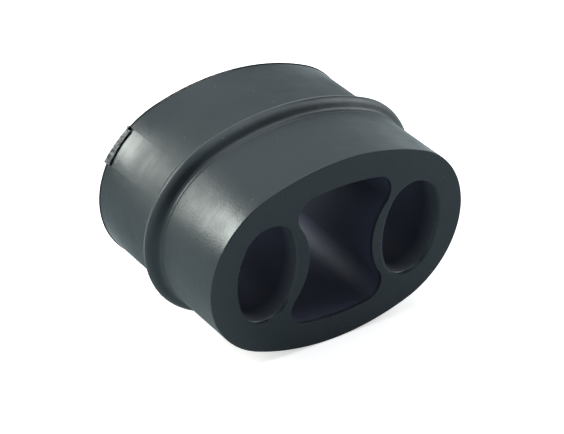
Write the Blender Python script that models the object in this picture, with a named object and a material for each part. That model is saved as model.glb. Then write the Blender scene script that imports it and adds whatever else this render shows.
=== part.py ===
"""Rubber transmission mount, moulded in one piece.

An oval block with two upright bores near its ends and an hourglass cavity between them,
so that two thin curved webs carry the load from bore to bore. A rib runs round the
middle of the outer skin, and the stub of a cut moulding tab stands at the back rim.

The block lies on its long side. X runs along the oval, Y through the block from the front
face to the back face, and Z up across it. The origin is the middle of the block.
"""
import math
from collections import namedtuple

import bmesh
import bpy

MM = 0.001

# Oval block: its outline is four arcs, two long flanks and two round ends. Length and
# height are the front face's, and the mould's draft widens the block towards the back
BODY_LENGTH = 62.0 * MM
BODY_HEIGHT = 42.8 * MM
BODY_DEPTH = 40.8 * MM
BODY_FLANK_RADIUS = 51.2 * MM
DRAFT = math.radians(0.45)
RIM_ROUND = 0.2 * MM

# Bores: upright ovals of four arcs, with a rounded lip at each mouth
BORE_WIDTH = 13.5 * MM
BORE_HEIGHT = 21.1 * MM
BORE_FLANK_RADIUS = 17.6 * MM
BORE_LIP = 0.9 * MM
END_WALL = 6.6 * MM

# Cavity: an hourglass whose narrow waist lies between the two webs
WEB = 3.1 * MM
ROOF_WALL = 6.0 * MM
CAVITY_ROOF_RADIUS = 52.4 * MM
CAVITY_SIDE_RADIUS = 14.4 * MM
CAVITY_CORNER_RADIUS = 4.05 * MM
CAVITY_EDGE_ROUND = 0.25 * MM

# Rib round the middle: a low step with a narrow landing, a hollow foot and a rounded crest
RIB_HEIGHT = 2.0 * MM
RIB_CREST_FLAT = 0.1 * MM
RIB_CREST_ROUND = 1.9 * MM
RIB_SLOPE = math.radians(52)
RIB_FOOT_ROUND = 1.4 * MM
RIB_LANDING = 0.15 * MM
RIB_STEP_HEIGHT = 0.12 * MM
RIB_STEP_RUN = 0.15 * MM

# Cut tab on the back rim, and the bit of flash beside it
TAB_ANGLE = math.radians(25.7)
TAB_LENGTH = 8.0 * MM
TAB_DEPTH = 1.9 * MM
TAB_FRONT_HEIGHT = 0.65 * MM
TAB_TALL_END = 0.9 * MM
TAB_LOW_END = 0.4 * MM
TAB_BEVEL = 0.15 * MM
FLASH_LENGTH = 0.6 * MM
FLASH_DEPTH = 0.5 * MM
FLASH_HEIGHT = 0.8 * MM
TAB_ROOT = 1.2 * MM
TAB_SETBACK = 0.1 * MM

# Fineness of the facets
CHORD = 1.9 * MM
FINE_CHORD = 1.3 * MM
ROUND_STEPS = 3
LIP_STEPS = 4
CREST_STEPS = 4
FOOT_STEPS = 3
TAB_STEPS = 6

# Black rubber with a faint blue-green cast
RUBBER_COLOUR = (0.036, 0.046, 0.050, 1.0)
RUBBER_ROUGHNESS = 0.52

# One arc of an outline: bulge is +1 where it bows outwards and -1 where it bows inwards
Arc = namedtuple("Arc", "x z radius start end bulge")


def turned(arcs, angle):
    """The same arcs turned about the origin."""
    c, s = math.cos(angle), math.sin(angle)
    return [a._replace(x=c * a.x - s * a.z, z=s * a.x + c * a.z, start=a.start + angle,
                       end=a.end + angle) for a in arcs]


def moved(arcs, x):
    """The same arcs moved along X."""
    return [a._replace(x=a.x + x) for a in arcs]


def oval(length, height, flank_radius):
    """Four tangent arcs, counter-clockwise from the right-hand end."""
    end_radius = ((flank_radius * height - (length ** 2 + height ** 2) / 4)
                  / (2 * flank_radius - length))
    end_x = length / 2 - end_radius
    drop = flank_radius - height / 2
    half_flank = math.atan2(end_x, drop)
    corner = math.pi / 2 - half_flank
    half = [Arc(end_x, 0, end_radius, -corner, corner, 1),
            Arc(0, -drop, flank_radius, corner, math.pi - corner, 1)]
    return half + turned(half, math.pi)


def hourglass(waist, roof, roof_radius, side_radius, corner_radius):
    """Eight tangent arcs: hollow sides, domed roof and floor, rounded corners."""
    side_x = waist + side_radius
    drop = roof_radius - roof
    reach = math.hypot(side_x, drop)
    from_roof = roof_radius - corner_radius
    from_side = side_radius + corner_radius
    along = (from_roof ** 2 - from_side ** 2 + reach ** 2) / (2 * reach)
    across = math.sqrt(from_roof ** 2 - along ** 2)
    corner_x = (along * side_x - across * drop) / reach
    corner_z = -drop + (along * drop + across * side_x) / reach
    roof_end = math.atan2(corner_z + drop, corner_x)
    side_end = math.atan2(corner_z, corner_x - side_x)
    half = [Arc(side_x, 0, side_radius, 2 * math.pi - side_end, side_end, -1),
            Arc(corner_x, corner_z, corner_radius, side_end - math.pi, roof_end, 1),
            Arc(0, -drop, roof_radius, roof_end, math.pi - roof_end, 1),
            Arc(-corner_x, corner_z, corner_radius, math.pi - roof_end,
                2 * math.pi - side_end, 1)]
    return half + turned(half, math.pi)


def outline(arcs, grow, chord):
    """Points along the arcs, pushed out of the shape by grow. Each arc has one at its middle."""
    points = []
    for arc in arcs:
        sweep = arc.end - arc.start
        steps = 2 * math.ceil(abs(sweep) * arc.radius / chord / 2)
        radius = arc.radius + arc.bulge * grow
        for i in range(steps):
            angle = arc.start + sweep * i / steps
            points.append((arc.x + radius * math.cos(angle), arc.z + radius * math.sin(angle)))
    return points


def loft(bm, arcs, stations, chord):
    """Skin a tube through the outline at each (depth, grow), and return its two end loops."""
    loops = []
    for depth, grow in stations:
        verts = [bm.verts.new((x, depth, z)) for x, z in outline(arcs, grow, chord)]
        loops.append([bm.edges.new((a, b)) for a, b in zip(verts, verts[1:] + verts[:1])])
    for near, far in zip(loops, loops[1:]):
        bmesh.ops.bridge_loops(bm, edges=near + far)
    return loops[0], loops[-1]


def mirrored(half):
    """A front half of stations, followed by the same half at the back."""
    return half + [(-depth, grow) for depth, grow in reversed(half)]


def drafted(stations):
    """Stations pushed out by the mould's draft."""
    return [(depth, grow + (depth + BODY_DEPTH / 2) * math.tan(DRAFT)) for depth, grow in stations]


def mouth(radius, steps, side):
    """Stations of a quarter round at the front face: side is +1 for a mouth, -1 for a rim."""
    stations = []
    for i in range(steps + 1):
        angle = math.pi / 2 * i / steps
        stations.append((-BODY_DEPTH / 2 + radius * (1 - math.cos(angle)),
                         side * radius * (1 - math.sin(angle))))
    return stations


def rib_flank():
    """Stations from the rib's front foot to the front of its crest."""
    crest_y = -RIB_CREST_FLAT / 2
    crest_z = RIB_HEIGHT - RIB_CREST_ROUND
    foot_z = RIB_STEP_HEIGHT + RIB_FOOT_ROUND
    both_rounds = RIB_CREST_ROUND + RIB_FOOT_ROUND
    rise = crest_z - foot_z + both_rounds * math.cos(RIB_SLOPE)
    foot_y = crest_y - both_rounds * math.sin(RIB_SLOPE) - rise / math.tan(RIB_SLOPE)
    step_y = foot_y - RIB_LANDING
    stations = [(step_y - RIB_STEP_RUN, 0.0), (step_y, RIB_STEP_HEIGHT)]
    for i in range(FOOT_STEPS + 1):
        angle = RIB_SLOPE * i / FOOT_STEPS
        stations.append((foot_y + RIB_FOOT_ROUND * math.sin(angle),
                         foot_z - RIB_FOOT_ROUND * math.cos(angle)))
    for i in range(CREST_STEPS + 1):
        angle = RIB_SLOPE * (1 - i / CREST_STEPS)
        stations.append((crest_y - RIB_CREST_ROUND * math.sin(angle),
                         crest_z + RIB_CREST_ROUND * math.cos(angle)))
    return stations


def rubber():
    """Satin black rubber."""
    material = bpy.data.materials.new("black_rubber")
    material.use_nodes = True
    shader = material.node_tree.nodes["Principled BSDF"]
    shader.inputs["Base Color"].default_value = RUBBER_COLOUR
    shader.inputs["Roughness"].default_value = RUBBER_ROUGHNESS
    material.diffuse_color = RUBBER_COLOUR
    return material


def new_object(name, bm):
    """Turn a bmesh into an object with its faces pointing out."""
    bmesh.ops.recalc_face_normals(bm, faces=bm.faces)
    mesh = bpy.data.meshes.new(name)
    bm.to_mesh(mesh)
    bm.free()
    made = bpy.data.objects.new(name, mesh)
    bpy.context.scene.collection.objects.link(made)
    return made


def block():
    """The oval block with its rib, its two bores and its cavity."""
    bore_x = BODY_LENGTH / 2 - END_WALL - BORE_WIDTH / 2
    waist = bore_x - BORE_WIDTH / 2 - WEB
    bore = turned(oval(BORE_HEIGHT, BORE_WIDTH, BORE_FLANK_RADIUS), math.pi / 2)
    cavity = hourglass(waist, BODY_HEIGHT / 2 - ROOF_WALL, CAVITY_ROOF_RADIUS,
                       CAVITY_SIDE_RADIUS, CAVITY_CORNER_RADIUS)
    lip = mirrored(mouth(BORE_LIP, LIP_STEPS, 1))
    bm = bmesh.new()
    ends = [
        loft(bm, oval(BODY_LENGTH, BODY_HEIGHT, BODY_FLANK_RADIUS),
             drafted(mirrored(mouth(RIM_ROUND, ROUND_STEPS, -1) + rib_flank())), CHORD),
        loft(bm, moved(bore, -bore_x), lip, FINE_CHORD),
        loft(bm, moved(bore, bore_x), lip, FINE_CHORD),
        loft(bm, cavity, mirrored(mouth(CAVITY_EDGE_ROUND, ROUND_STEPS - 1, 1)), FINE_CHORD),
    ]
    for face in zip(*ends):
        bmesh.ops.triangle_fill(bm, use_beauty=True, edges=[edge for loop in face for edge in loop])
    return new_object("rubber_mount", bm)


def stub(name, start, length, depth, front, tall, low):
    """A low stub on the back rim, following the left end of the oval.

    start is its angle up from the end of the oval. Its top is front high along its front
    edge, and falls from tall to low along its rear edge.
    """
    end = oval(BODY_LENGTH, BODY_HEIGHT, BODY_FLANK_RADIUS)[0]
    back_y = BODY_DEPTH / 2 - TAB_SETBACK
    skin = end.radius + BODY_DEPTH * math.tan(DRAFT)
    sections = []
    bm = bmesh.new()
    for i in range(TAB_STEPS + 1):
        share = i / TAB_STEPS
        angle = start + share * length / end.radius
        rear = tall + (low - tall) * share
        corners = [(back_y - depth, -TAB_ROOT), (back_y - depth, front), (back_y, rear),
                   (back_y, -TAB_ROOT)]
        sections.append([bm.verts.new((-end.x - (skin + high) * math.cos(angle), y,
                                       (skin + high) * math.sin(angle)))
                         for y, high in corners])
    for near, far in zip(sections, sections[1:]):
        for i in range(4):
            bm.faces.new((near[i - 1], near[i], far[i], far[i - 1]))
    bm.faces.new(sections[0])
    bm.faces.new(sections[-1])
    return new_object(name, bm)


def join(body, piece):
    """Make the piece one with the body."""
    piece.hide_render = True
    piece.display_type = "WIRE"
    union = body.modifiers.new(piece.name, "BOOLEAN")
    union.operation = "UNION"
    union.solver = "EXACT"
    union.object = piece


for old in list(bpy.data.objects):
    bpy.data.objects.remove(old, do_unlink=True)

mount = block()
tab = stub("cut_tab", TAB_ANGLE, TAB_LENGTH, TAB_DEPTH, TAB_FRONT_HEIGHT, TAB_TALL_END,
           TAB_LOW_END)
bevel = tab.modifiers.new("worn_edges", "BEVEL")
bevel.width = TAB_BEVEL
bevel.segments = 2
bevel.limit_method = "ANGLE"
join(mount, tab)
flash_angle = TAB_ANGLE + TAB_LENGTH / oval(BODY_LENGTH, BODY_HEIGHT, BODY_FLANK_RADIUS)[0].radius
join(mount, stub("flash", flash_angle, FLASH_LENGTH, FLASH_DEPTH, FLASH_HEIGHT, FLASH_HEIGHT,
                 FLASH_HEIGHT))
mount.data.materials.append(rubber())
mount.data.shade_smooth()
mount.data.set_sharp_from_angle(angle=math.radians(35))
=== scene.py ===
import math

import bmesh
import bpy
from mathutils import Matrix, Quaternion, Vector, noise


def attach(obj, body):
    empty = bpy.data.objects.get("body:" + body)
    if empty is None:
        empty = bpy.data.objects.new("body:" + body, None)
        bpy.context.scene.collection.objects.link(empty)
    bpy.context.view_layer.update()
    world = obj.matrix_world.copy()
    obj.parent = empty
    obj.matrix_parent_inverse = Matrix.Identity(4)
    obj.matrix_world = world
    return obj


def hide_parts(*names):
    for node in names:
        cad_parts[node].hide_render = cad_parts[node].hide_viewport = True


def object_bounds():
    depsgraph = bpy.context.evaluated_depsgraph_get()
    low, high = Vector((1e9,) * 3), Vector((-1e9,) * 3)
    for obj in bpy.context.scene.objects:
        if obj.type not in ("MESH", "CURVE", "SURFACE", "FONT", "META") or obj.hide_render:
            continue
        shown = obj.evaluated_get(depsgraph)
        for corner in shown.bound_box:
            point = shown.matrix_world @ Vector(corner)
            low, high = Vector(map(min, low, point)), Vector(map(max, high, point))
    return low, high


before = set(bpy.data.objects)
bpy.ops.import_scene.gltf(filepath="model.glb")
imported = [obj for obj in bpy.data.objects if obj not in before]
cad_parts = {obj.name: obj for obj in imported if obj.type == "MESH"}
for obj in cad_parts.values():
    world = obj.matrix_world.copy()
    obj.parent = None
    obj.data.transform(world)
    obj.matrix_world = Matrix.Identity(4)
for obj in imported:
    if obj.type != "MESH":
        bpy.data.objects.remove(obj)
cad_low, cad_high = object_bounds()
MM = 0.001

# Camera
# A long lens looks down on the front face from the left, with the head slightly tilted.
# Its azimuth, like that of every light and card, runs in degrees from the back towards +X.
AIM = Vector((-0.65, -1.17, -2.27)) * MM
DISTANCE = 381.3 * MM
AZIMUTH = -142.35
ELEVATION = 31.69
ROLL = math.radians(4.31)
LENS = 118.25
SENSOR = 36.0


def placed(name, data):
    """A new object in the scene."""
    made = bpy.data.objects.new(name, data)
    bpy.context.scene.collection.objects.link(made)
    return made


def direction(azimuth, elevation):
    """The way out from the middle of the mount, from two angles in degrees."""
    azimuth, elevation = math.radians(azimuth), math.radians(elevation)
    return Vector((math.sin(azimuth) * math.cos(elevation),
                   math.cos(azimuth) * math.cos(elevation), math.sin(elevation)))


camera = placed("camera", bpy.data.cameras.new("camera"))
camera.data.lens = LENS
camera.data.sensor_width = SENSOR
back = direction(AZIMUTH, ELEVATION)
camera.location = AIM + back * DISTANCE
camera.rotation_mode = "QUATERNION"
camera.rotation_quaternion = back.to_track_quat("Z", "Y") @ Quaternion((0, 0, 1), ROLL)
bpy.context.scene.camera = camera

# Moulded block
# The whole mount is one piece of black rubber, pressed in a mould that parts at the back rim,
# so its skin widens a little that way. A rib runs round the oval, and cores leave the holes.
RIB_HEIGHT = 2.0 * MM
RIB_NOSE_ROUND = 0.5 * MM
RIB_NOSE_EDGE = math.radians(12)
RIB_SHOULDER_ROUND = 2.6 * MM
RIB_SLOPE = math.radians(52)
RIB_FOOT_ROUND = 1.25 * MM
RIB_LANDING = 0.15 * MM
RIB_STEP_HEIGHT = 0.08 * MM
RIB_STEP_RUN = 0.25 * MM
FLANK_RADIUS = 51.2 * MM
DRAFT = math.radians(0.45)
RIM_ROUND = 0.2 * MM
FIN_HEIGHT = 0.18 * MM
FIN_WIDTH = 0.1 * MM
FIN_FOOT = 0.15 * FIN_HEIGHT
BORE_WIDTH = 13.5 * MM
BORE_HEIGHT = 21.1 * MM
BORE_FLANK_RADIUS = 17.6 * MM
BORE_LIP = 0.9 * MM
END_WALL = 6.6 * MM
WEB = 3.1 * MM
ROOF_WALL = 6.0 * MM
ROOF_RADIUS = 52.4 * MM
SIDE_RADIUS = 14.4 * MM
CORNER_RADIUS = 4.05 * MM
EDGE_ROUND = 0.12 * MM
BORDER = 0.25 * MM
WALL_STEP = 0.5 * MM
FEWEST_STEPS = 4
ROUND_STEP = math.radians(8)
EDGE_STEPS = 6
WELD = 1e-6

front = cad_low.y
widening = math.tan(DRAFT)
rib_reach = RIB_HEIGHT - front * widening
block_length = cad_high.x - cad_low.x - 2 * rib_reach
block_height = cad_high.z - cad_low.z - 2 * rib_reach


def oval_arcs(length, width, flank_radius):
    """Distances of an oval's end and flank centres from its middle, and half a flank's angle."""
    end_radius = ((flank_radius * width - (length ** 2 + width ** 2) / 4)
                  / (2 * flank_radius - length))
    end = length / 2 - end_radius
    drop = flank_radius - width / 2
    return end, drop, math.atan2(end, drop)


def block_turns():
    """The two turns, as centre and angle, from the block's right end up to its middle."""
    end, drop, half_flank = oval_arcs(block_length, block_height, FLANK_RADIUS)
    return [(end, 0, math.pi / 2 - half_flank), (0, -drop, half_flank)]


def bore_turns():
    """The two turns of an upright bore, from its flat side up to its top."""
    end, drop, half_flank = oval_arcs(BORE_HEIGHT, BORE_WIDTH, BORE_FLANK_RADIUS)
    return [(-drop, 0, half_flank), (0, end, math.pi / 2 - half_flank)]


def hourglass_turns(waist, roof):
    """The three turns of the cavity: round its hollow side, its corner and half its roof."""
    side_x = waist + SIDE_RADIUS
    drop = ROOF_RADIUS - roof
    reach = math.hypot(side_x, drop)
    from_roof = ROOF_RADIUS - CORNER_RADIUS
    from_side = SIDE_RADIUS + CORNER_RADIUS
    along = (from_roof ** 2 - from_side ** 2 + reach ** 2) / (2 * reach)
    across = math.sqrt(from_roof ** 2 - along ** 2)
    corner_x = (along * side_x - across * drop) / reach
    corner_z = -drop + (along * drop + across * side_x) / reach
    roof_end = math.atan2(corner_z + drop, corner_x)
    side_end = math.atan2(corner_z, corner_x - side_x)
    return [(side_x, 0, side_end - math.pi), (corner_x, corner_z, roof_end - side_end + math.pi),
            (0, -drop, math.pi / 2 - roof_end)]


def rounding(radius, side):
    """A front edge's quarter round, as (depth, outwards). Side is 1 at a mouth, -1 at the rim."""
    stations = [(front, side * (radius + BORDER))]
    for i in range(EDGE_STEPS + 1):
        angle = math.pi / 2 * i / EDGE_STEPS
        depth = front + radius * (1 - math.cos(angle))
        stations.append((depth, side * radius * (1 - math.sin(angle))))
    return stations + [(front + radius + BORDER, 0)]


def rib_half(step_height):
    """Front half of the rib, as (depth, outwards), from a low step at its foot up to its crest."""
    swell = RIB_SHOULDER_ROUND - RIB_NOSE_ROUND
    shoulder_y = swell * math.sin(RIB_NOSE_EDGE)
    shoulder_z = RIB_HEIGHT - RIB_NOSE_ROUND - swell * math.cos(RIB_NOSE_EDGE)
    foot_z = step_height + RIB_FOOT_ROUND
    both_rounds = RIB_SHOULDER_ROUND + RIB_FOOT_ROUND
    rise = shoulder_z - foot_z + both_rounds * math.cos(RIB_SLOPE)
    foot_y = shoulder_y - both_rounds * math.sin(RIB_SLOPE) - rise / math.tan(RIB_SLOPE)
    step_y = foot_y - RIB_LANDING
    stations = [(step_y - RIB_STEP_RUN - BORDER, 0)]
    for share in (0, 0.25, 0.5, 0.75, 1):
        stations.append((step_y - RIB_STEP_RUN * (1 - share),
                         step_height * share * share * (3 - 2 * share)))
    arcs = [(foot_y, foot_z, -RIB_FOOT_ROUND, 0, RIB_SLOPE),
            (shoulder_y, shoulder_z, RIB_SHOULDER_ROUND, RIB_SLOPE, RIB_NOSE_EDGE),
            (0, RIB_HEIGHT - RIB_NOSE_ROUND, RIB_NOSE_ROUND, RIB_NOSE_EDGE, 0)]
    for centre_y, centre_z, radius, start, end in arcs:
        steps = math.ceil(abs(end - start) / ROUND_STEP)
        for i in range(steps + 1):
            angle = start + (end - start) * i / steps
            stations.append((centre_y - radius * math.sin(angle),
                             centre_z + radius * math.cos(angle)))
    return stations


def at_back(half):
    """A front half of a profile, turned round to the back."""
    return [(-depth, out) for depth, out in reversed(half)]


def vertex(bm, x, y):
    """A new vertex on the level of the mount's middle."""
    return bmesh.ops.create_vert(bm, co=(x, y, 0))["vert"][0]


def sweep(bm, reach, profile, turns, x=0.0):
    """Carry a profile round a quarter of an outline, then mirror it into a whole wall."""
    older = set(bm.verts)
    start = [vertex(bm, reach + out, depth) for depth, out in profile]
    strip = start + [bm.edges.new(pair) for pair in zip(start, start[1:])]
    for centre_x, centre_z, angle in turns:
        radius = max(math.hypot(reach - centre_x, centre_z), CORNER_RADIUS)
        steps = max(FEWEST_STEPS, round(abs(angle) * radius / WALL_STEP))
        strip = bmesh.ops.spin(bm, geom=strip, cent=(centre_x, 0, centre_z), axis=(0, -1, 0),
                               angle=angle, steps=steps, use_duplicate=False)["geom_last"]
    for axis in "ZX":
        verts = [v for v in bm.verts if v not in older]
        edges = [edge for edge in bm.edges if edge.verts[0] not in older]
        faces = [face for face in bm.faces if face.verts[0] not in older]
        bmesh.ops.mirror(bm, geom=verts + edges + faces, axis=axis, merge_dist=WELD)
    bmesh.ops.translate(bm, verts=[v for v in bm.verts if v not in older], vec=(x, 0, 0))


def close_faces(bm):
    """Fill the flat front and back faces, between the rim and the mouths of the holes."""
    for face_y in (front, -front):
        rims = [edge for edge in bm.edges if edge.is_boundary
                and all(abs(v.co.y - face_y) < WELD for v in edge.verts)]
        bmesh.ops.triangle_fill(bm, use_beauty=True, edges=rims)
    bmesh.ops.recalc_face_normals(bm, faces=bm.faces)


def as_object(bm, name):
    """The finished shape as a new object."""
    mesh = bpy.data.meshes.new(name)
    bm.to_mesh(mesh)
    bm.free()
    return placed(name, mesh)


fin = [(-front - 2 * FIN_WIDTH, 0), (-front - FIN_WIDTH, FIN_FOOT),
       (-front - FIN_WIDTH, FIN_HEIGHT), (-front, FIN_HEIGHT), (-front, -BORDER)]
straight = rounding(RIM_ROUND, -1) + rib_half(RIB_STEP_HEIGHT) + at_back(rib_half(0))[1:] + fin
skin = [(depth, out + (depth - front) * widening) for depth, out in straight]
lip = rounding(BORE_LIP, 1)
cavity_edge = rounding(EDGE_ROUND, 1)
bore_x = block_length / 2 - END_WALL - BORE_WIDTH / 2
waist = bore_x - BORE_WIDTH / 2 - WEB
roof = block_height / 2 - ROOF_WALL
bm = bmesh.new()
sweep(bm, block_length / 2, skin, block_turns())
for side in (-1, 1):
    sweep(bm, BORE_WIDTH / 2, lip + at_back(lip), bore_turns(), side * bore_x)
sweep(bm, waist, cavity_edge + at_back(cavity_edge), hourglass_turns(waist, roof))
close_faces(bm)
block = as_object(bm, "mount_rubber")

# Cut tab
# The rubber's way into the mould left a tab on the back rim, which was cut off with a knife.
# Its rough cut face is pale, and a nib of flash stands beside it.
TAB_ANGLE = math.radians(24.0)
TAB_LENGTH = 8.0 * MM
TAB_DEPTH = 1.3 * MM
TAB_FRONT_HEIGHT = 0.42 * MM
TAB_TALL_END = 1.1 * MM
TAB_LOW_END = 0.6 * MM
TAB_SAG = 0.12 * MM
TAB_ROOT = 1.2 * MM
TAB_SETBACK = 0.1 * MM
TAB_STEPS = 16
TAB_BEVEL = 0.15 * MM
TAB_BEVEL_STEPS = 3
TAB_SHARP = math.radians(30)
NIB_LENGTH = 0.6 * MM
NIB_DEPTH = 0.5 * MM
NIB_HEIGHT = 0.8 * MM
NIB_STEPS = 3
CUT_WAVE = 0.06 * MM
CUT_GRAIN = 1400
CUT_FADE = 1.0
CUT_FINER = 2.0
CUT_LAYERS = 3
CUT_SPLITS = 5
CUT_CLEARANCE = 0.05 * MM
CUT_OUTWARDS = 0.8
CREASE = math.radians(50)

end_x = oval_arcs(block_length, block_height, FLANK_RADIUS)[0]
end_radius = block_length / 2 - end_x
rim_radius = end_radius - 2 * front * widening
rear_y = -front - TAB_SETBACK


def stub(start, length, depth, front_height, tall, low, sag, steps):
    """A closed stub on the back rim. Its top sags, and its rear edge falls from tall to low."""
    bm = bmesh.new()
    corners = [(rear_y - depth, -TAB_ROOT), (rear_y - depth, front_height), (rear_y, tall),
               (rear_y, -TAB_ROOT)]
    section = bm.faces.new([vertex(bm, -end_x - rim_radius - high, y) for y, high in corners])
    bmesh.ops.rotate(bm, verts=bm.verts, cent=(-end_x, 0, 0),
                     matrix=Matrix.Rotation(start, 3, "Y"))
    bmesh.ops.spin(bm, geom=[section] + list(section.edges) + list(section.verts),
                   cent=(-end_x, 0, 0), axis=(0, 1, 0), angle=length / end_radius, steps=steps,
                   use_duplicate=False)
    for v in bm.verts:
        arm = Vector((v.co.x + end_x, 0, v.co.z))
        if arm.length > rim_radius:
            share = (math.atan2(arm.z, -arm.x) - start) * end_radius / length
            fall = (tall - low) * share if v.co.y > rear_y - depth / 2 else 0
            v.co -= arm.normalized() * (fall + sag * 4 * share * (1 - share))
    bmesh.ops.recalc_face_normals(bm, faces=bm.faces)
    return bm


def worn(bm):
    """Round the stub's sharp edges."""
    sharp = [edge for edge in bm.edges if edge.calc_face_angle() > TAB_SHARP]
    bmesh.ops.bevel(bm, geom=sharp, affect="EDGES", offset=TAB_BEVEL, segments=TAB_BEVEL_STEPS,
                    profile=0.5, material=-1)


def face_is_top(centre, normal):
    """Whether a face belongs to the tab's cut top."""
    arm = Vector((centre.x + end_x, 0, centre.z))
    return arm.length > rim_radius + CUT_CLEARANCE and normal.dot(arm.normalized()) > CUT_OUTWARDS


def roughened(bm):
    """Waves that the knife left in the stub's top."""
    tops = {face for face in bm.faces if face_is_top(face.calc_center_median(), face.normal)}
    edges = [edge for edge in bm.edges
             if edge.calc_length() > TAB_BEVEL and not tops.isdisjoint(edge.link_faces)]
    bmesh.ops.subdivide_edges(bm, edges=edges, cuts=CUT_SPLITS, use_grid_fill=True)
    for v in bm.verts:
        if all(face_is_top(face.calc_center_median(), face.normal) for face in v.link_faces):
            wave = noise.fractal(v.co * CUT_GRAIN, CUT_FADE, CUT_FINER, CUT_LAYERS)
            v.co += v.normal * CUT_WAVE * wave


def unite(body, bm):
    """Make the shape one with the body."""
    shape = as_object(bm, "stub")
    union = body.modifiers.new("stub", "BOOLEAN")
    union.operation = "UNION"
    union.solver = "EXACT"
    union.object = shape
    bpy.context.view_layer.update()
    evaluated = body.evaluated_get(bpy.context.evaluated_depsgraph_get())
    whole = bpy.data.meshes.new_from_object(evaluated)
    body.modifiers.clear()
    body.data = whole
    bpy.data.objects.remove(shape)


tab = stub(TAB_ANGLE, TAB_LENGTH, TAB_DEPTH, TAB_FRONT_HEIGHT, TAB_TALL_END, TAB_LOW_END,
           TAB_SAG, TAB_STEPS)
worn(tab)
roughened(tab)
unite(block, tab)
nib = stub(TAB_ANGLE + TAB_LENGTH / end_radius, NIB_LENGTH, NIB_DEPTH, NIB_HEIGHT, NIB_HEIGHT,
           NIB_HEIGHT, 0, NIB_STEPS)
unite(block, nib)
block.data.shade_smooth()
block.data.set_sharp_from_angle(angle=CREASE)
cut = block.data.attributes.new("cut", "FLOAT", "FACE")
for face in block.data.polygons:
    on_tab = face.center.y > rear_y - TAB_DEPTH and face.center.x < 0 < face.center.z
    cut.data[face.index].value = on_tab and face_is_top(face.center, face.normal)

# Rubber
# Nearly black rubber, whose satin skin is duller beside the rib than at the rims. It bears
# faint tooling lines round the oval, soft waves, a fine grain and a few specks of dust. The
# walls of its holes are matt, with painted light on them: a paler bluish tone lifts their shade.
DARK = (0.010, 0.0135, 0.015, 1)
LIGHT = (0.014, 0.0165, 0.020, 1)
SHEEN_TINT = (0.87, 0.95, 1.0, 1)
SPECULAR = 0.48
DUST = (0.12, 0.13, 0.13, 1)
DUST_CELLS = 330.0
DUST_SIZE = 0.04
# Roughness of the skin, by share of the way from the front face to the back one
SKIN_ROUGHNESS = [(0, 0.31), (0.2, 0.385), (0.38, 0.455), (0.6, 0.53), (0.75, 0.49), (0.9, 0.35),
                  (1, 0.27)]
# The rib has a roughness of its own, which ends at these distances from a line on its front half
RIB_ROUGHNESS = 0.40
RIB_LINE = -1 * MM
RIB_SIDE_START = 2.2 * MM
RIB_SIDE_END = 2.6 * MM
# Painted light, a paler bluish tone that lifts the holes' shade, sets in below the mouths, inside
# an oval round all the holes and one round each bore
PAINTED_CAVITY_LIGHT = (0.036, 0.037, 0.067, 1)
HOLE_ROUGHNESS = 0.68
HOLE_PAINT_START = 0.3 * MM
HOLE_PAINT_FULL = 1.0 * MM
HOLE_REACH_X = 28 * MM
HOLE_REACH_Z = 18.4 * MM
BORE_REACH_X = 8.2 * MM
BORE_REACH_Z = 12.2 * MM
# Painted light on the bores' walls, by depth below the nearer face: paler near the mouth,
# darkest a little further in, and much paler deep inside, where it lifts the shade
BORE_PAINTED_LIGHT = [(0, (0.080, 0.086, 0.100, 1)), (2.2 * MM, (0.062, 0.065, 0.083, 1)),
              (4.5 * MM, (0.036, 0.037, 0.060, 1)), (14 * MM, (0.190, 0.185, 0.260, 1))]
CUT_DARK = (0.05, 0.053, 0.055, 1)
CUT_LIGHT = (0.38, 0.385, 0.39, 1)
CUT_ROUGHNESS = 0.85
CUT_MOTTLE_LOW = 0.35
CUT_MOTTLE_HIGH = 0.65
# Each pattern has a scale per metre and a detail; the lines' scale is in their stretch
CLOUDS = (70.0, 2.0)
SMUDGES = (180.0, 4.0)
WAVES = (300.0, 1.0)
GRAIN = (2200.0, 2.0)
MOTTLE = (1300.0, 3.0)
LINES = (1.0, 3.0)
LINE_STRETCH = (60.0, 1100.0, 60.0)
SMUDGE_SWING = 0.12
LINE_SWING = 0.05
WAVE_HEIGHT = 0.06 * MM
GRAIN_HEIGHT = 0.022 * MM
LINE_HEIGHT = 0.003 * MM


def add(tree, kind, inputs=None, **settings):
    """A new node, with its settings and its inputs, which are values or other nodes' outputs."""
    made = tree.nodes.new("ShaderNode" + kind)
    for name, value in settings.items():
        setattr(made, name, value)
    for name, value in (inputs or {}).items():
        if isinstance(value, bpy.types.NodeSocket):
            tree.links.new(value, made.inputs[name])
        else:
            made.inputs[name].default_value = value
    return made


def maths(tree, operation, *values):
    """The result of a calculation with numbers."""
    return add(tree, "Math", dict(enumerate(values)), operation=operation).outputs[0]


def vector_maths(tree, operation, *values, gives="Vector"):
    """The result of a calculation with vectors, which is a vector or a value."""
    return add(tree, "VectorMath", dict(enumerate(values)), operation=operation).outputs[gives]


def ranged(tree, value, start, end, low=0.0, high=1.0):
    """A number that runs from low to high while the value runs from start to end."""
    return add(tree, "MapRange", {"Value": value, "From Min": start, "From Max": end,
                                  "To Min": low, "To Max": high}).outputs[0]


def between(tree, share, first, second):
    """A number between two numbers."""
    return add(tree, "Mix", {"Factor": share, "A": first, "B": second}).outputs["Result"]


def blended(tree, share, first, second):
    """A colour between two colours."""
    return add(tree, "Mix", {"Factor": share, "A": first, "B": second},
               data_type="RGBA").outputs["Result"]


def pattern(tree, place, scale_and_detail):
    """A soft random pattern from 0 to 1."""
    scale, detail = scale_and_detail
    return add(tree, "TexNoise", {"Vector": place, "Scale": scale, "Detail": detail}).outputs["Fac"]


def skin_colour(tree, place):
    """Cloudy black with specks of dust."""
    black = blended(tree, pattern(tree, place, CLOUDS), DARK, LIGHT)
    cells = add(tree, "TexVoronoi", {"Vector": place, "Scale": DUST_CELLS})
    speck = maths(tree, "LESS_THAN", cells.outputs["Distance"], DUST_SIZE)
    return blended(tree, speck, black, DUST)


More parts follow.
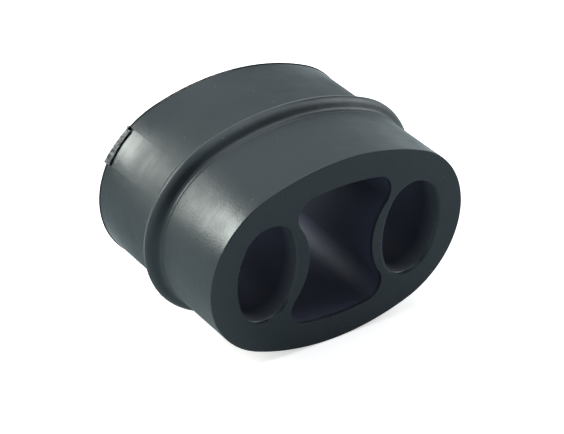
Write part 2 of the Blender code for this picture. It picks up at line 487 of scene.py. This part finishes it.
def skin_roughness(tree, place, depth, lines):
    """Roughness by depth beside the rib, even on the rib, and stirred by smudges and lines."""
    curve = add(tree, "FloatCurve", {"Value": ranged(tree, depth, front, -front)})
    points = curve.mapping.curves[0].points
    points[0].location, points[1].location = SKIN_ROUGHNESS[0], SKIN_ROUGHNESS[-1]
    for share, roughness in SKIN_ROUGHNESS[1:-1]:
        points.new(share, roughness)
    curve.mapping.update()
    from_line = maths(tree, "ABSOLUTE", maths(tree, "SUBTRACT", depth, RIB_LINE))
    off_rib = ranged(tree, from_line, RIB_SIDE_START, RIB_SIDE_END)
    even = between(tree, off_rib, RIB_ROUGHNESS, curve.outputs[0])
    smudges = pattern(tree, place, SMUDGES)
    smudged = maths(tree, "ADD", even, ranged(tree, smudges, 0, 1, -SMUDGE_SWING, SMUDGE_SWING))
    return maths(tree, "ADD", smudged, ranged(tree, lines, 0, 1, -LINE_SWING, LINE_SWING))


def within(tree, place, middle_x, reach_x, reach_z):
    """1 inside an upright oval that runs through the block, and 0 outside it."""
    shares = vector_maths(tree, "MULTIPLY_ADD", place, (1 / reach_x, 0, 1 / reach_z),
                          (-middle_x / reach_x, 0, 0))
    distance = vector_maths(tree, "LENGTH", shares, gives="Value")
    return maths(tree, "LESS_THAN", distance, 1.0)


def hole_colour(tree, place, from_middle):
    """Painted light on the holes' walls: a paler bluish tone in the cavity, and in the bores a tone
    that changes with the depth.
    """
    # Painted light: the bores' walls get paler deep inside, where little light reaches.
    deepest = BORE_PAINTED_LIGHT[-1][0]
    ramp = add(tree, "ValToRGB", {"Fac": ranged(tree, from_middle, -front, -front - deepest)})
    stops = ramp.color_ramp.elements
    stops.remove(stops[1])
    stops[0].color = BORE_PAINTED_LIGHT[0][1]
    for below, tone in BORE_PAINTED_LIGHT[1:]:
        stops.new(below / deepest).color = tone
    both_sides = vector_maths(tree, "ABSOLUTE", place)
    in_bore = within(tree, both_sides, bore_x, BORE_REACH_X, BORE_REACH_Z)
    return blended(tree, in_bore, PAINTED_CAVITY_LIGHT, ramp.outputs["Color"])


def relief(tree, place, lines):
    """The skin's waves, grain and lines, as a bump."""
    height = 0.0
    for layer, layer_height in ((pattern(tree, place, WAVES), WAVE_HEIGHT),
                                (pattern(tree, place, GRAIN), GRAIN_HEIGHT), (lines, LINE_HEIGHT)):
        height = maths(tree, "MULTIPLY_ADD", layer, layer_height, height)
    return add(tree, "Bump", {"Height": height, "Distance": 1.0, "Strength": 1.0}).outputs["Normal"]


rubber = bpy.data.materials.new("black_rubber")
rubber.use_nodes = True
tree = rubber.node_tree
place = add(tree, "TexCoord").outputs["Object"]
depth = add(tree, "SeparateXYZ", {"Vector": place}).outputs["Y"]
from_middle = maths(tree, "ABSOLUTE", depth)
# Below the mouths, inside the holes, painted light and a matt roughness take over.
sunk = ranged(tree, from_middle, -front - HOLE_PAINT_START, -front - HOLE_PAINT_FULL)
inner = within(tree, place, 0, HOLE_REACH_X, HOLE_REACH_Z)
in_hole = maths(tree, "MULTIPLY", inner, sunk)
on_cut = add(tree, "Attribute", attribute_name="cut").outputs["Fac"]
lines = pattern(tree, vector_maths(tree, "MULTIPLY", place, LINE_STRETCH), LINES)
# Painted light: a paler bluish tone lifts the shade on the holes' walls below the mouths.
with_painted_hole_light = blended(tree, in_hole, skin_colour(tree, place), hole_colour(tree, place, from_middle))
mottle = ranged(tree, pattern(tree, place, MOTTLE), CUT_MOTTLE_LOW, CUT_MOTTLE_HIGH)
colour = blended(tree, on_cut, with_painted_hole_light, blended(tree, mottle, CUT_DARK, CUT_LIGHT))
satin = skin_roughness(tree, place, depth, lines)
uncut = between(tree, in_hole, satin, HOLE_ROUGHNESS)
roughness = between(tree, on_cut, uncut, CUT_ROUGHNESS)
shader = tree.nodes["Principled BSDF"]
shader.inputs["Specular IOR Level"].default_value = SPECULAR
shader.inputs["Specular Tint"].default_value = SHEEN_TINT
tree.links.new(colour, shader.inputs["Base Color"])
tree.links.new(roughness, shader.inputs["Roughness"])
tree.links.new(relief(tree, place, lines), shader.inputs["Normal"])
block.data.materials.clear()
block.data.materials.append(rubber)
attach(block, "root")
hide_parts("rubber_mount")

# Floor
# A white table, seen as pure white, on which only the deepest shadow shows. It leans to
# the rib and the front edge that the mount rests on.
FLOOR_RADIUS = 250 * MM
FLOOR_SIDES = 64
FLOOR_GAP = 0.05 * MM
FLOOR_WHITE = (0.9, 0.9, 0.9, 1)
FLOOR_GREY = (0.63, 0.725, 0.79, 1)
SHADOW_FILL = 0.62

bm = bmesh.new()
bmesh.ops.create_circle(bm, cap_ends=True, segments=FLOOR_SIDES, radius=FLOOR_RADIUS)
lean = math.atan2(-block_height / 2 - cad_low.z, -front)
bmesh.ops.rotate(bm, verts=bm.verts, cent=(0, 0, 0), matrix=Matrix.Rotation(-lean, 3, "X"))
bmesh.ops.translate(bm, verts=bm.verts, vec=(0, 0, cad_low.z - FLOOR_GAP))
floor = as_object(bm, "floor")
table = bpy.data.materials.new("white_table")
table.use_nodes = True
tree = table.node_tree
tree.nodes.remove(tree.nodes["Principled BSDF"])
by_eye = add(tree, "LightPath").outputs["Is Camera Ray"]
white = blended(tree, by_eye, FLOOR_GREY, FLOOR_WHITE)
paint = add(tree, "BsdfDiffuse", {"Color": white}).outputs[0]
fill = maths(tree, "MULTIPLY", by_eye, SHADOW_FILL)
glow = add(tree, "Emission", {"Strength": fill}).outputs[0]
both = add(tree, "AddShader", {0: paint, 1: glow}).outputs[0]
tree.links.new(both, tree.nodes["Material Output"].inputs["Surface"])
floor.data.materials.append(table)

# Studio light
# A white room lights the mount evenly. Four soft boxes add to it: one overhead, a small bright
# one and a broad one behind, and one at the right.
ROOM_LIGHT = 0.45
BACKGROUND_LIGHT = 1.0
ROOM_TINT = (0.87, 1.0, 1.03, 1)
BACKGROUND_TINT = (1, 1, 1, 1)
WARM_WHITE = (1, 1, 0.9)


def background_seen(tree):
    """1 for rays that show the background: straight to the camera, mirrored or passed through."""
    ray = add(tree, "LightPath").outputs
    seen = maths(tree, "MAXIMUM", ray["Is Camera Ray"], ray["Is Glossy Ray"])
    return maths(tree, "MAXIMUM", seen, ray["Is Transmission Ray"])


def soft_box(name, azimuth, elevation, distance, size, watts, colour=(1, 1, 1)):
    """A square area light that faces the mount."""
    box = placed(name, bpy.data.lights.new(name, "AREA"))
    box.data.size = size
    box.data.energy = watts
    box.data.color = colour
    towards = direction(azimuth, elevation)
    box.location = towards * distance
    box.rotation_mode = "QUATERNION"
    box.rotation_quaternion = towards.to_track_quat("Z", "Y")


world = bpy.data.worlds.new("white_room")
bpy.context.scene.world = world
world.use_nodes = True
tree = world.node_tree
room = tree.nodes["Background"]
by_eye = add(tree, "LightPath").outputs["Is Camera Ray"]
tint = blended(tree, by_eye, ROOM_TINT, BACKGROUND_TINT)
level = between(tree, background_seen(tree), ROOM_LIGHT, BACKGROUND_LIGHT)
tree.links.new(tint, room.inputs["Color"])
tree.links.new(level, room.inputs["Strength"])
soft_box("overhead", azimuth=60, elevation=76, distance=0.8, size=0.6, watts=2.0)
soft_box("behind_left", azimuth=-40, elevation=23, distance=0.6, size=0.28, watts=3.8,
         colour=WARM_WHITE)
soft_box("behind", azimuth=-20, elevation=35, distance=0.9, size=0.9, watts=0.9)
soft_box("right", azimuth=96, elevation=31, distance=0.6, size=0.34, watts=1.45)

# Black cards
# Two large cards stand at the front left and the front right of the mount and keep its front
# dark. A small one at the right rear darkens the rib's right end. The camera doesn't see them.
# Each card has an azimuth, an elevation and a size.
CARD_DISTANCE = 0.75
LEFT_CARD = (-150, 18, 0.8)
RIGHT_CARD = (134, 24, 0.75)
REAR_CARD = (62, 36, 0.31)
FELT_BLACK = (0.02, 0.02, 0.02, 1)
FELT_ROUGHNESS = 1.0

felt = bpy.data.materials.new("black_felt")
felt.use_nodes = True
shader = felt.node_tree.nodes["Principled BSDF"]
shader.inputs["Base Color"].default_value = FELT_BLACK
shader.inputs["Roughness"].default_value = FELT_ROUGHNESS
for azimuth, elevation, size in (LEFT_CARD, RIGHT_CARD, REAR_CARD):
    bm = bmesh.new()
    bmesh.ops.create_grid(bm, x_segments=1, y_segments=1, size=size / 2)
    towards = direction(azimuth, elevation)
    turned = towards.to_track_quat("Z", "Y").to_matrix().to_4x4()
    bmesh.ops.transform(bm, verts=bm.verts,
                        matrix=Matrix.Translation(towards * CARD_DISTANCE) @ turned)
    card = as_object(bm, "black_card")
    card.visible_camera = False
    card.data.materials.append(felt)

bpy.context.scene.view_settings.view_transform = "Standard"
